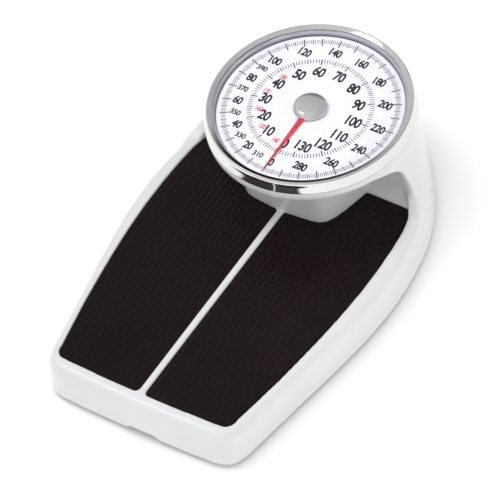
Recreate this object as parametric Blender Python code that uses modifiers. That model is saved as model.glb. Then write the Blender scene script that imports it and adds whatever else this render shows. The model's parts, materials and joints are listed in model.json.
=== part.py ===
"""Mechanical dial platform scale: base pan, lever train, sprung pointer drive and a one-piece cover
whose rear rises into the dial head. Metres, +Z up, floor at z = 0, +Y from the front edge to the dial."""

import math

import bmesh
import bpy
from mathutils import Vector

MM = 0.001
GAP = 0.3                      # clearance between pieces that touch, mm

# heights, mm above the floor
FLOOR_TOP = 4.0                # inside of the base pan
SKIRT_BOTTOM = 6.0
POCKET_FLOOR = 48.7
MAT_TOP = 52.0
LIP_TOP = 53.0
RING_BOTTOM = 119.0
RING_TOP = 131.0
DIAL_TOP = 135.25
DIAL_THICK = 1.25

# plan dimensions, mm
DIAL_Y = 125.0                 # dial axis
RING_R = 112.0
BORE_R = 98.5
LEDGE_R = 103.5
WALL = 3.0
RIB_HALF = 4.04
MAT_FRONT = -223.0
MAT_BACK = 111.0
FRONT_BOW = 5.76 / 150.0 ** 2  # the front edges curve back away from the middle
NOTCH_X = 6.0                  # middle of the finger notch in the front edge
COVER_SCREWS = {"front_left": (-70, -150), "front_right": (70, -150),
                "rear_left": (-92, 60), "rear_right": (92, 60)}
FEET = {"front_left": (-68, -206), "front_right": (68, -206),
        "rear_left": (-78, 150), "rear_right": (78, 150)}

# lever train, mm
FULCRUM_Y = -203.0
LOAD_ARM = 24.0
ROD_Y = 127.0
REAR_FULCRUM_Y = 176.0
MEET_Y = (REAR_FULCRUM_Y + FULCRUM_Y) / 2
MAIN_Z = 28.0                  # main lever's pins
SHORT_Z = 34.0                 # short lever's pins
LEVER_T = 4.0
PIN_R = 2.5
FRONT_PLATE_X = 95.0           # inner face of the front brackets and hangers
REAR_PLATE_X = 82.0
PLATE_T = 3.0
SPRING_X, SPRING_Y = 16.0, 118.0
BEAM_Z = 84.0                  # underside of the spring bridge's beam

# pointer drive, mm
CRANK_Y, CRANK_Z = 148.5, 85.0
CRANK_REST = math.radians(20.0)
ROD_ARM = 21.5
RACK_ARM = 45.93
PINION_R = 3.75
TEETH = 15
RACK_X = 4.35                  # toothed face's root line
RACK_Z0, RACK_Z1 = 128.2, 131.2
BRIDGE_Z0, BRIDGE_Z1 = 124.3, 126.3

# body outline at the skirt's lower edge, right half from the front to the back
OUTLINE = [(0, -240), (40, -239.6), (80, -238.4), (100, -236.4), (112, -229.5), (118.3, -217),
           (122.5, -195), (128, -162), (134, -127), (139.5, -95), (145, -60), (149.5, -25),
           (151.5, 10), (151, 40), (147.5, 72), (141, 105), (130.5, 134), (116.5, 160),
           (99, 185), (76.5, 209.5), (42, 231.5), (0, 240)]
# outer edge of the right mat, front to back
MAT_EDGE = [(107.6, -207), (112.5, -180), (118.5, -145), (122.9, -113), (127, -80), (130.4, -45),
            (132.5, -8), (132.7, 25), (131.6, 55), (129.3, 80), (125.6, 98), (121, 111)]
# foot of the column where it meets the mats, right half from the middle to the back
NOSE = [(0, 48.7), (20, 50.2), (35, 51.6), (44, 53.6), (51, 58.6), (56, 67.5), (60.1, 80),
        (63.5, 94), (67.8, 111)]


def smooth(points, steps):
    """Closed Catmull-Rom curve through the points."""
    out, n = [], len(points)
    for i in range(n):
        p0, p1, p2, p3 = (Vector(points[(i + k) % n]) for k in (-1, 0, 1, 2))
        for s in range(steps):
            t = s / steps
            out.append(0.5 * (2 * p1 + (p2 - p0) * t + (2 * p0 - 5 * p1 + 4 * p2 - p3) * t ** 2
                              + (3 * p1 - p0 - 3 * p2 + p3) * t ** 3))
    return [(p.x, p.y) for p in out]


def mirrored(half):
    """Closed counter-clockwise loop from a right half that runs front to back."""
    return list(half) + [(-x, y) for x, y in reversed(half) if x > 0.01]


def inset(loop, distance):
    """Moves each point of a counter-clockwise loop inwards along its mean normal."""
    out, n = [], len(loop)
    for i, (x, y) in enumerate(loop):
        (ax, ay), (bx, by) = loop[i - 1], loop[(i + 1) % n]
        normal = Vector((by - ay, ax - bx)).normalized()
        out.append((x - normal.x * distance, y - normal.y * distance))
    return out


def arc(cx, cy, r, start, end, steps):
    angles = (math.radians(start + (end - start) * i / steps) for i in range(steps + 1))
    return [(cx + r * math.cos(a), cy + r * math.sin(a)) for a in angles]


def material(name, rgb, rough, metal=0.0, alpha=1.0):
    mat = bpy.data.materials.new(name)
    mat.use_nodes = True
    shader = mat.node_tree.nodes["Principled BSDF"]
    shader.inputs["Base Color"].default_value = (*rgb, 1.0)
    shader.inputs["Roughness"].default_value = rough
    shader.inputs["Metallic"].default_value = metal
    shader.inputs["Alpha"].default_value = alpha
    return mat


for old in list(bpy.data.objects):
    bpy.data.objects.remove(old)
parts = bpy.data.collections.new("dial_platform_scale")
tools = bpy.data.collections.new("cutters")
for group in (parts, tools):
    bpy.context.scene.collection.children.link(group)

WHITE = material("white_gloss", (0.86, 0.86, 0.87), 0.22)
RUBBER = material("black_rubber", (0.03, 0.025, 0.026), 0.6)
CHROME = material("chrome", (0.8, 0.8, 0.8), 0.08, 1.0)
CLEAR = material("clear_lens", (0.95, 0.97, 0.98), 0.03, 0.0, 0.15)
CARD = material("dial_card", (0.9, 0.9, 0.9), 0.5)
RED = material("pointer_red", (0.75, 0.04, 0.05), 0.4)
STEEL = material("zinc_steel", (0.55, 0.56, 0.58), 0.35, 1.0)
PAN = material("painted_pan", (0.09, 0.075, 0.065), 0.5)
BRASS = material("brass", (0.72, 0.55, 0.25), 0.3, 1.0)
GREY = material("grey_plastic", (0.2, 0.2, 0.21), 0.5)


def add(name, mesh, mat=None, at=(0, 0, 0)):
    """Makes an object: a part if it has a material, else a tool that other pieces use."""
    obj = bpy.data.objects.new(name, mesh)
    obj.location = [c * MM for c in at]
    if mat:
        obj.data.materials.append(mat)
        parts.objects.link(obj)
    else:
        obj.hide_render = True
        obj.display_type = "WIRE"
        tools.objects.link(obj)
    return obj


def face_outwards(bm):
    bmesh.ops.recalc_face_normals(bm, faces=bm.faces)
    if bm.calc_volume(signed=True) < 0:
        bmesh.ops.reverse_faces(bm, faces=bm.faces)


def from_bmesh(name, bm, mat, at):
    face_outwards(bm)
    bmesh.ops.scale(bm, vec=(MM, MM, MM), verts=bm.verts)
    mesh = bpy.data.meshes.new(name)
    bm.to_mesh(mesh)
    bm.free()
    return add(name, mesh, mat, at)


def loft(name, sections, mat=None, at=(0, 0, 0)):
    """Closed solid through loops of equal length, given as (z, [(x, y), ...])."""
    bm = bmesh.new()
    rings = [[bm.verts.new((x, y, z)) for x, y in loop] for z, loop in sections]
    for low, high in zip(rings, rings[1:]):
        for i in range(len(low)):
            bm.faces.new((low[i - 1], low[i], high[i], high[i - 1]))
    bm.faces.new(rings[0])
    bm.faces.new(rings[-1])
    bmesh.ops.triangulate(bm, faces=bm.faces)    # its four-sided faces are twisted
    return from_bmesh(name, bm, mat, at)


def box(name, low, high, mat=None, at=(0, 0, 0)):
    bm = bmesh.new()
    bmesh.ops.create_cube(bm, size=1.0)
    for v in bm.verts:
        v.co = Vector([(a + b) / 2 + c * (b - a) for a, b, c in zip(low, high, v.co)])
    return from_bmesh(name, bm, mat, at)


def rod(name, axis, start, end, r, mat=None, sides=14, at=(0, 0, 0)):
    """Round bar along X, Y or Z between two centres."""
    bm = bmesh.new()
    start, end = Vector(start), Vector(end)
    bmesh.ops.create_cone(bm, cap_ends=True, segments=sides, radius1=r, radius2=r,
                          depth=(end - start).length)
    turn = Vector((0, 0, 1)).rotation_difference(Vector(axis))
    for v in bm.verts:
        v.co = turn @ v.co + (start + end) / 2
    return from_bmesh(name, bm, mat, at)


def revolve(name, profile, steps, mat=None, at=(0, 0, 0), closed=False):
    """Turns an (r, z) profile about the local Z axis with a Screw modifier."""
    area = sum(a[0] * b[1] - b[0] * a[1] for a, b in zip(profile, profile[1:] + profile[:1]))
    if area > 0:
        profile = profile[::-1]    # the outer side runs down, so that faces point outwards
    bm = bmesh.new()
    verts = [bm.verts.new((r * MM, 0, z * MM)) for r, z in profile]
    for a, b in zip(verts, verts[1:] + (verts[:1] if closed else [])):
        bm.edges.new((a, b))
    mesh = bpy.data.meshes.new(name)
    bm.to_mesh(mesh)
    bm.free()
    obj = add(name, mesh, mat, at)
    screw = obj.modifiers.new("turn", "SCREW")
    screw.steps = screw.render_steps = steps
    screw.use_merge_vertices = True
    screw.merge_threshold = 0.00001
    return obj


def curve_mesh(name, curve, mat, at):
    """Turns a curve into a mesh object."""
    guide = bpy.data.objects.new(name + "_curve", curve)
    parts.objects.link(guide)
    mesh = bpy.data.meshes.new_from_object(guide)
    bpy.data.objects.remove(guide)
    bm = bmesh.new()
    bm.from_mesh(mesh)
    bmesh.ops.remove_doubles(bm, verts=bm.verts, dist=0.00001)
    face_outwards(bm)
    bm.to_mesh(mesh)
    bm.free()
    mesh.materials.clear()
    return add(name, mesh, mat, at)


def plate(name, loops, z0, z1, mat=None, at=(0, 0, 0)):
    """Flat plate from a filled 2D curve: the first loop is its edge, the others are holes."""
    curve = bpy.data.curves.new(name, "CURVE")
    curve.dimensions = "2D"
    curve.fill_mode = "BOTH"
    curve.extrude = (z1 - z0) / 2 * MM
    for loop in loops:
        spline = curve.splines.new("POLY")
        spline.points.add(len(loop) - 1)
        for point, (x, y) in zip(spline.points, loop):
            point.co = (x * MM, y * MM, 0, 1)
        spline.use_cyclic_u = True
    obj = curve_mesh(name, curve, mat, at)
    for v in obj.data.vertices:
        v.co.z += (z0 + z1) / 2 * MM
    return obj


def wire(name, points, r, mat, at=(0, 0, 0)):
    curve = bpy.data.curves.new(name, "CURVE")
    curve.dimensions = "3D"
    curve.bevel_depth = r * MM
    curve.bevel_resolution = 1
    curve.use_fill_caps = True
    spline = curve.splines.new("POLY")
    spline.points.add(len(points) - 1)
    for point, co in zip(spline.points, points):
        point.co = (*[c * MM for c in co], 1)
    return curve_mesh(name, curve, mat, at)


def combine(obj, other, how):
    """Adds an exact Boolean: how is UNION or DIFFERENCE."""
    mod = obj.modifiers.new(how.lower() + "_" + other.name, "BOOLEAN")
    mod.solver = "EXACT"
    mod.operation = how
    mod.object = other


def cut(obj, *others):
    for other in others:
        combine(obj, other, "DIFFERENCE")


def join(obj, *others):
    for other in others:
        combine(obj, other, "UNION")


def both_sides(build):
    for side, sign in (("left", -1), ("right", 1)):
        build(side, sign)


# ---- shared outlines ----
body_edge = smooth(mirrored(OUTLINE), 2)
coarse_edge = mirrored(OUTLINE)       # for plain steel pieces inside


def mat_loop(sign, grow):
    """One mat's edge, counter-clockwise, grown outwards by grow."""
    front = [(x, MAT_FRONT + FRONT_BOW * x * x) for x in (30, 55, 80)]
    inner = RIB_HALF + 5.0
    right = arc(inner, MAT_FRONT + 5.0, 5.0, 180, 270, 4) + front
    right += arc(96.4, MAT_FRONT + 13.2, 11.0, -88, -8, 5)
    right += MAT_EDGE + [(x, y) for x, y in reversed(NOSE[1:])]
    right += arc(RIB_HALF + 3.0, NOSE[0][1] - 2.6, 3.0, 90, 180, 3)
    right = inset(right, -grow)
    return right if sign > 0 else [(-x, y) for x, y in reversed(right)]


def rear_section(z, thin):
    """Section of the cover's tall rear part: body outline below, dial ring above."""
    blend = min(max((z - 46.0) / (RING_BOTTOM - 46.0), 0.0), 1.0)
    blend = blend * blend * (3 - 2 * blend)
    arm = [(32, 80), (50, 80), (54, 92), (60, 103), (70, 112), (84, 117), (100, 117), (108, 111),
           (114, 99), (RING_BOTTOM, 80), (200, 80)]
    wall = [(32, 111.4), (52, 111.4), (60, 115), (70, 118), (100, 119), (200, 119)]

    def at(table):
        for (z0, y0), (z1, y1) in zip(table, table[1:]):
            if z <= z1:
                return y0 + (y1 - y0) * max(z - z0, 0) / (z1 - z0)
        return table[-1][1]

    y_arm, y_wall = at(arm) + 2.4 * thin, at(wall) + thin
    full = inset(body_edge, (1.9 if z < 38 else 1.1) + thin)
    rear = []
    for i in range(21):
        a = math.radians(-38 + (90 + 38) * i / 20)
        ray = Vector((math.cos(a), math.sin(a)))
        rear.append((outline_reach(full, ray) * (1 - blend) + (RING_R - thin) * blend, a))
    half = [(r * math.cos(a), DIAL_Y + r * math.sin(a)) for r, a in rear]
    start = crossing(half, y_arm)
    side = resample([start] + [p for p in half if p[1] > y_arm + 0.5], 17)
    lift = min(max((z - 54.0) / 16.0, 0.0), 1.0)
    y_mid = (y_arm + y_wall) / 2
    corner = min(118.0, start[0] - 9.0)
    front = [(66.0, y_wall)]
    for y, shift in ((y_wall, -8.0), (y_mid, -2.0), (y_arm, 1.5)):
        front.append((mat_side(y) * (1 - lift) + (corner + shift) * lift + thin * 0.9, y))
    return mirrored(front + side)


def mat_side(y):
    """Half-width just outside the mats' outer edge."""
    for (x0, y0), (x1, y1) in zip(MAT_EDGE, MAT_EDGE[1:]):
        if y <= y1:
            return x0 + (x1 - x0) * (y - y0) / (y1 - y0) + 2.0
    return MAT_EDGE[-1][0] + 2.0


def outline_reach(loop, ray):
    """Distance from the dial axis to a loop along a ray."""
    best = 0.0
    for (ax, ay), (bx, by) in zip(loop, loop[1:] + loop[:1]):
        ay, by = ay - DIAL_Y, by - DIAL_Y
        side_a, side_b = ray.x * ay - ray.y * ax, ray.x * by - ray.y * bx
        if side_a * side_b <= 0 and side_a != side_b:
            t = side_a / (side_a - side_b)
            best = max(best, (ax + (bx - ax) * t) * ray.x + (ay + (by - ay) * t) * ray.y)
    return best


def crossing(line, y):
    """Point where a rising line of points reaches y."""
    for (ax, ay), (bx, by) in zip(line, line[1:]):
        if ay <= y <= by:
            t = (y - ay) / (by - ay)
            return (ax + (bx - ax) * t, y)
    return line[0]


def resample(line, count):
    """Evenly spaced points along an open line."""
    lengths = [0.0]
    for a, b in zip(line, line[1:]):
        lengths.append(lengths[-1] + math.dist(a, b))
    out, k = [], 0
    for i in range(count):
        want = lengths[-1] * i / (count - 1)
        while k < len(line) - 2 and lengths[k + 1] < want:
            k += 1
        t = (want - lengths[k]) / (lengths[k + 1] - lengths[k])
        out.append(tuple(a + (b - a) * t for a, b in zip(line[k], line[k + 1])))
    return out


nose_edge = mirrored(NOSE + [(69.5, 128), (66, 150), (50, 172), (25, 184), (0, 188)])


def nose_section(z, thin, rise):
    """Section of the column over the mats, flaring into the dial head's round underside."""
    table = [(0, 0.0), (62, 0.0), (80, 0.02), (95, 0.10), (106, 0.34), (113, 0.66),
             (RING_BOTTOM, 1.0)]
    level = z - rise
    for (z0, b0), (z1, b1) in zip(table, table[1:]):
        if level <= z1:
            blend = b0 + (b1 - b0) * (level - z0) / (z1 - z0)
            break
    out = []
    for x, y in nose_edge:
        r, a = math.hypot(x, y - DIAL_Y), math.atan2(y - DIAL_Y, x)
        r = (r * (1 - blend) + 106.0 * blend) - thin
        out.append((r * math.cos(a), DIAL_Y + r * math.sin(a)))
    return out


# ---- platform cover ----
cover = loft("platform_cover", [(z, inset(body_edge, d)) for z, d in (
    (SKIRT_BOTTOM, 0.0), (42, 1.5), (47.6, 3.2), (51.2, 6.0), (LIP_TOP, 11.0))], WHITE)
REAR_LEVELS = (32, 44, 50, 54, 60, 70, 84, 104, 112, 118.8)
rear = loft("rear_shell", [(z, rear_section(z, 0.0)) for z in REAR_LEVELS])
column = loft("column_shell", [(z, nose_section(z, 0.0, 0.0)) for z in
                               (46, 56, 70, 80, 95, 106, 113, RING_BOTTOM)])
LEDGE_TOP = DIAL_TOP - DIAL_THICK - GAP
ring = revolve("ring_solid", [(BORE_R, RING_BOTTOM - 1.2), (107, RING_BOTTOM - 1.2),
                              (110.8, RING_BOTTOM + 0.2), (RING_R, RING_BOTTOM + 2.0),
                              (RING_R, RING_TOP), (LEDGE_R, RING_TOP), (LEDGE_R, LEDGE_TOP),
                              (BORE_R, LEDGE_TOP)], 64, at=(0, DIAL_Y, 0), closed=True)
join(cover, rear, column, ring)

hollow = loft("tray_hollow", [(z, inset(coarse_edge, d)) for z, d in (
    (-2, WALL), (40, WALL + 1.0), (POCKET_FLOOR - WALL, WALL + 5.0))])
rear_hollow = loft("rear_hollow", [(z, rear_section(min(z, 110), WALL)) for z in
                                   (41, 54, 70, 92, 117)])
column_hollow = loft("column_hollow", [(z, nose_section(z, thin, 2.0)) for z, thin in
                                       ((40, WALL), (62, WALL), (97, WALL), (110, 4.5),
                                        (RING_BOTTOM + 2.0, 8.2))])
join(hollow, rear_hollow, column_hollow)
cut(cover, hollow)


def mat_and_pocket(side, sign):
    cut(cover, plate(f"pocket_{side}", [mat_loop(sign, GAP)], POCKET_FLOOR, LIP_TOP + 0.6))
    plate(f"mat_{side}", [mat_loop(sign, 0.0)], POCKET_FLOOR + GAP, MAT_TOP, RUBBER)


both_sides(mat_and_pocket)
notch = loft("finger_notch", [
    (z, [(NOTCH_X + sx * half, y) for sx, y in ((-1, -250), (1, -250), (1, -226), (-1, -226))])
    for z, half in ((0, 21), (SKIRT_BOTTOM + 3.4, 16))])
cut(cover, notch)

# ---- base pan and feet ----
pan = loft("base_pan", [(z, inset(coarse_edge, d)) for z, d in
                        ((2.5, 7.0), (4.4, 4.6), (15, 4.6))], PAN)
cut(pan, loft("pan_hollow", [(z, inset(coarse_edge, d)) for z, d in
                             ((FLOOR_TOP, 7.6), (5.6, 6.1), (20, 6.1))]),
    box("pan_notch", (NOTCH_X - 22, -242, 6.6), (NOTCH_X + 22, -228, 18)))
for corner, (x, y) in FEET.items():
    cut(pan, rod(f"foot_hole_{corner}", (0, 0, 1), (x, y, 0), (x, y, 9), 3.6))
    revolve(f"foot_{corner}", [(0, 0), (11, 0), (12, 0.8), (12, 2.2), (3.3, 2.2), (3.3, 5.0),
                               (2.4, 5.8), (0, 5.8)], 20, RUBBER, (x, y, 0))


# ---- fulcrum brackets on the pan, hangers under the treadle ----
def bracket(name, sign, x, y, z):
    """Upright plate with a round notch for a lever pin, on a flange."""
    obj = box(name, (sign * x, y - 8, FLOOR_TOP + GAP), (sign * (x + PLATE_T), y + 8, z + 3.5), STEEL)
    join(obj, box(name + "_flange", (sign * (x - 11), y - 8, FLOOR_TOP + GAP),
                  (sign * (x + PLATE_T - 0.5), y + 8, FLOOR_TOP + GAP + 2)))
    cut(obj, rod(name + "_seat", (1, 0, 0), (sign * x - 6, y, z), (sign * x + 6, y, z), PIN_R + GAP))
    cut(obj, box(name + "_mouth", (sign * x - 6, y - 2.2, z), (sign * x + 6, y + 2.2, z + 9)))


def hanger(name, sign, x, y, z):
    """Strap under the treadle with a round eye over a lever pin."""
    obj = box(name, (sign * x, y - 8, z - 6), (sign * (x + PLATE_T), y + 8, 43.5), STEEL)
    join(obj, box(name + "_flange", (sign * (x - 9), y - 8, 41.5),
                  (sign * (x + PLATE_T - 0.5), y + 8, 43.5)))
    cut(obj, rod(name + "_eye", (1, 0, 0), (sign * x - 6, y, z), (sign * x + 6, y, z), PIN_R + GAP))


def corner_fittings(side, sign):
    bracket(f"fulcrum_front_{side}", sign, FRONT_PLATE_X, FULCRUM_Y, MAIN_Z)
    bracket(f"fulcrum_rear_{side}", sign, REAR_PLATE_X, REAR_FULCRUM_Y, SHORT_Z)
    hanger(f"hanger_front_{side}", sign, FRONT_PLATE_X, FULCRUM_Y + LOAD_ARM, MAIN_Z)
    hanger(f"hanger_rear_{side}", sign, REAR_PLATE_X, REAR_FULCRUM_Y - LOAD_ARM, SHORT_Z)


both_sides(corner_fittings)

# ---- treadle under the cover, with its screws ----
TREADLE_Z0, TREADLE_Z1 = 43.8, 45.4
well = mirrored([(30, 24), (52, 40), (56, 110), (56, 150)])
rear_cut = [(x, y) for x, y in inset(coarse_edge, 9.0) if y < 166]
treadle = plate("treadle_plate", [rear_cut, well[::-1]], TREADLE_Z0, TREADLE_Z1, STEEL)
for name, (x, y) in COVER_SCREWS.items():
    cut(treadle, rod(f"treadle_hole_{name}", (0, 0, 1), (x, y, 40), (x, y, 50), 1.8, sides=16))
    cut(cover, rod(f"cover_hole_{name}", (0, 0, 1), (x, y, 40), (x, y, 47.9), 1.7, sides=16))
    revolve(f"cover_screw_{name}", [(0, 41.3), (3.6, 41.6), (4.0, 42.4), (4.0, TREADLE_Z0 - GAP),
                                    (1.4, TREADLE_Z0 - GAP), (1.4, 47.2), (0, 47.6)],
            12, STEEL, (x, y, 0))

# ---- levers ----
half_t = LEVER_T / 2


def lever_pins(obj, x0, x1, z, *rows):
    for k, y in enumerate(rows):
        for side, sign in (("left", -1), ("right", 1)):
            join(obj, rod(f"{obj.name}_pin_{k}_{side}", (1, 0, 0), (sign * x0, y, z),
                          (sign * x1, y, z), PIN_R))


main = plate("main_lever", [
    mirrored([(94, -209), (94, -173), (84, -160), (21, 92), (25, 110), (25, 124), (9, 124), (9, 134)]),
    mirrored([(72, -166), (35, MEET_Y - 8)])[::-1],
    mirrored([(31, MEET_Y + 8), (10, 86)])[::-1]],
    MAIN_Z - half_t, MAIN_Z + half_t, STEEL)
lever_pins(main, 88, 100, MAIN_Z, FULCRUM_Y, FULCRUM_Y + LOAD_ARM)
cut(main, rod("rod_hole", (0, 0, 1), (0, ROD_Y, 20), (0, ROD_Y, 40), 2.3, sides=16))
for side, sign in (("left", -1), ("right", 1)):
    cut(main, rod(f"spring_hole_{side}", (0, 0, 1), (sign * SPRING_X, SPRING_Y, 20),
                  (sign * SPRING_X, SPRING_Y, 40), 2.2, sides=16))

short = plate("short_lever", [
    mirrored([(9, MEET_Y - 6), (72, 138), (80, 146), (80, 184)]),
    mirrored([(5, 4), (58.5, 136)])[::-1]],
    SHORT_Z - half_t, SHORT_Z + half_t, STEEL)
lever_pins(short, 74, 87, SHORT_Z, REAR_FULCRUM_Y, REAR_FULCRUM_Y - LOAD_ARM)
box("coupling_link", (-6, MEET_Y - 2.5, MAIN_Z + half_t + GAP),
    (6, MEET_Y + 2.5, SHORT_Z - half_t - GAP), STEEL)

# ---- spring bridge and springs ----
BRIDGE_Y0, BRIDGE_Y1, BRIDGE_HALF = 104, 122, 34
BRIDGE_FOOT = FLOOR_TOP + GAP
SPRING_R, SPRING_TURNS, WIRE_R = 6.5, 6, 1.1
TURN_STEPS = 8
bridge = box("spring_bridge", (-BRIDGE_HALF, BRIDGE_Y0, BEAM_Z), (BRIDGE_HALF, BRIDGE_Y1, BEAM_Z + 3),
             STEEL)
for side, sign in (("left", -1), ("right", 1)):
    join(bridge, box(f"bridge_leg_{side}", (sign * (BRIDGE_HALF - 3), BRIDGE_Y0, BRIDGE_FOOT),
                     (sign * BRIDGE_HALF, BRIDGE_Y1, BEAM_Z + 2)),
         box(f"bridge_foot_{side}", (sign * (BRIDGE_HALF - 2), BRIDGE_Y0, BRIDGE_FOOT),
             (sign * (BRIDGE_HALF + 10), BRIDGE_Y1, BRIDGE_FOOT + 2.5)))
    cut(bridge, rod(f"anchor_hole_{side}", (0, 0, 1), (sign * SPRING_X, SPRING_Y, BEAM_Z - 4),
                    (sign * SPRING_X, SPRING_Y, BEAM_Z + 8), 1.8, sides=12))


def main_spring(side, sign):
    x, y = sign * SPRING_X, SPRING_Y
    coil = []
    for i in range(SPRING_TURNS * TURN_STEPS + 1):
        a, t = 2 * math.pi * i / TURN_STEPS, i / (SPRING_TURNS * TURN_STEPS)
        r = SPRING_R * min(1.0, 0.25 + 8 * t, 0.25 + 8 * (1 - t))
        coil.append((x + r * math.cos(a), y + r * math.sin(a), 36 + 42 * t))
    wire(f"main_spring_{side}", [(x + 4, y, 23.9), (x, y, 24.1), (x, y, 31)] + coil
         + [(x, y, BEAM_Z - 1), (x, y, BEAM_Z + 4.9), (x + 4, y, BEAM_Z + 5.1)], WIRE_R, STEEL)


both_sides(main_spring)

# ---- zero adjustment ----
WHEEL_Y, WHEEL_R, ECCENTRIC = -214.0, 21.0, 8.0
LINK_STEP_Y = -170.0            # where the link steps down under the levers
WHEEL_AT = (0, WHEEL_Y, 0)
GROOVES, GROOVE_AT = 10, WHEEL_R + 0.4
wheel = revolve("zero_wheel", [(3.2, 7.0), (20.1, 7.0), (WHEEL_R, 7.8), (WHEEL_R, 10.4),
                               (20.1, 11.2), (3.2, 11.2)], 40, GREY, WHEEL_AT, closed=True)
join(wheel, rod("eccentric", (0, 0, 1), (ECCENTRIC, 0, 10.5), (ECCENTRIC, 0, 16.0), 1.6,
                sides=16, at=WHEEL_AT))
for k in range(GROOVES):
    a = 2 * math.pi * (k + 0.5) / GROOVES
    x, y = GROOVE_AT * math.cos(a), GROOVE_AT * math.sin(a)
    cut(wheel, rod(f"finger_groove_{k}", (0, 0, 1), (x, y, 5), (x, y, 12.9), 1.3, sides=6, at=WHEEL_AT))
revolve("wheel_pivot", [(0, FLOOR_TOP + GAP), (7, FLOOR_TOP + GAP), (7, 6.6), (2.9, 6.6), (2.9, 11.6),
                        (5, 11.7), (5, 12.6), (0, 12.9)], 16, STEEL, WHEEL_AT)
link = plate("zero_link", [
    [(3, WHEEL_Y - 5), (14, WHEEL_Y - 5), (14, LINK_STEP_Y + 2), (3, LINK_STEP_Y + 2)],
    [(ECCENTRIC - 3.4, WHEEL_Y - 1.9), (ECCENTRIC - 3.4, WHEEL_Y + 1.9), (ECCENTRIC + 2.4, WHEEL_Y + 1.9),
     (ECCENTRIC + 2.4, WHEEL_Y - 1.9)]], 13.4, 15.0, STEEL)
link_rear = plate("link_rear", [
    [(3.4, LINK_STEP_Y), (13.6, LINK_STEP_Y), (16, LINK_STEP_Y + 10), (16, 60), (6, 84), (6, 98),
     (-6, 98), (-6, 84), (6, 56), (6, LINK_STEP_Y + 10)]], 6.0, 7.6)
join(link, link_rear, box("link_riser", (3.2, LINK_STEP_Y + 0.2, 6.4), (13.8, LINK_STEP_Y + 1.8, 14.6)))

# ---- pull rod and bell crank ----
pull = wire("pull_rod", [(0, ROD_Y, 21.8), (0, ROD_Y, 60), (0, ROD_Y, 89)], 1.5, STEEL)
pin_z = CRANK_Z + ROD_ARM * math.sin(CRANK_REST)
join(pull, box("rod_eye", (-1.2, ROD_Y - 4.4, 87.5), (1.2, ROD_Y + 5.6, pin_z + 4.2)))
cut(pull, box("rod_eye_slot", (-4, ROD_Y - 1.7, pin_z - 1.5), (4, ROD_Y + 2.9, pin_z + 1.5)))
rod_nut = rod("rod_nut", (0, 0, 1), (0, ROD_Y, 22.3), (0, ROD_Y, MAIN_Z - half_t - GAP), 4.0, BRASS, sides=6)
cut(rod_nut, rod("nut_bore", (0, 0, 1), (0, ROD_Y, 20), (0, ROD_Y, 30), 1.8, sides=16))

CRANK_AT = (0, CRANK_Y, CRANK_Z)
crank = rod("bell_crank", (1, 0, 0), (2.6, 0, 0), (13, 0, 0), 4.2, BRASS, at=CRANK_AT)


def crank_arm(name, x0, x1, length, angle, width):
    """Flat arm in the YZ plane, from the pivot to length at the given angle from +Y."""
    bm = bmesh.new()
    bmesh.ops.create_cube(bm, size=1.0)
    for v in bm.verts:
        along, across = (v.co.y + 0.5) * (length + width * 0.5), v.co.z * width
        y = along * math.cos(angle) - across * math.sin(angle)
        z = along * math.sin(angle) + across * math.cos(angle)
        v.co = Vector((x0 + (v.co.x + 0.5) * (x1 - x0), y, z))
    return from_bmesh(name, bm, None, CRANK_AT)


input_angle, output_angle = math.pi - CRANK_REST, math.pi / 2 - CRANK_REST
rod_pin_at = (ROD_ARM * math.cos(input_angle), ROD_ARM * math.sin(input_angle))
rack_pin_at = (RACK_ARM * math.cos(output_angle), RACK_ARM * math.sin(output_angle))
join(crank, crank_arm("input_arm", 2.8, 4.8, ROD_ARM, input_angle, 5.0),
     crank_arm("output_arm", 10.8, 12.8, RACK_ARM, output_angle, 3.6),
     rod("rod_pin", (1, 0, 0), (-3.2, *rod_pin_at), (4.0, *rod_pin_at), 1.2, sides=14, at=CRANK_AT),
     rod("rack_pin", (1, 0, 0), (5.0, *rack_pin_at), (12.0, *rack_pin_at), 1.2, sides=14, at=CRANK_AT))
cut(crank, rod("crank_bore", (1, 0, 0), (0, 0, 0), (20, 0, 0), 2.3, sides=18, at=CRANK_AT))
rod("crank_pin", (1, 0, 0), (-8.5, CRANK_Y, CRANK_Z), (19.5, CRANK_Y, CRANK_Z), 2.0, STEEL, sides=18)

# ---- movement bridge, crank bracket, rack guide ----
movement = plate("movement_bridge", [mirrored([(60, 98), (88, 113), (91, 125), (88, 137), (60, 152)])],
                 BRIDGE_Z0, BRIDGE_Z1, STEEL)
cut(movement, rod("bushing_hole", (0, 0, 1), (0, DIAL_Y, 120), (0, DIAL_Y, 130), 3.8),
    box("crank_slot", (9.0, 129, 120), (15.0, 156, 130)))
for side, sign in (("left", -1), ("right", 1)):
    x = sign * 84
    boss = box(f"boss_{side}", (sign * 77, 116, 116.5), (sign * 101, 134, BRIDGE_Z0 - GAP))
    join(cover, boss)
    cut(cover, rod(f"boss_hole_{side}", (0, 0, 1), (x, DIAL_Y, 119), (x, DIAL_Y, 128), 1.7, sides=16))
    cut(movement, rod(f"bridge_hole_{side}", (0, 0, 1), (x, DIAL_Y, 120), (x, DIAL_Y, 130), 1.8, sides=16))
    revolve(f"bridge_screw_{side}", [(0, 119.8), (1.4, 120.2), (1.4, BRIDGE_Z1 + GAP),
                                     (3.6, BRIDGE_Z1 + GAP), (3.6, 128.4), (0, 129)],
            16, STEEL, (x, DIAL_Y, 0))
bracket_top = BRIDGE_Z0 - GAP
hanger_plate = box("crank_bracket", (-9.2, 131, bracket_top - 2), (20.2, 151, bracket_top), STEEL)
join(hanger_plate, box("bracket_lip", (6.5, 127, bracket_top - 2), (20.2, 135, bracket_top)))
cut(hanger_plate, box("bracket_slot", (8.6, 131.5, 110), (15.4, 160, 130)))
for name, x0, x1 in (("near", -7.4, -5.4), ("far", 16.4, 18.4)):
    join(hanger_plate, box(f"cheek_{name}", (x0, 141, CRANK_Z - 5), (x1, 151, bracket_top - 1)))
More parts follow.
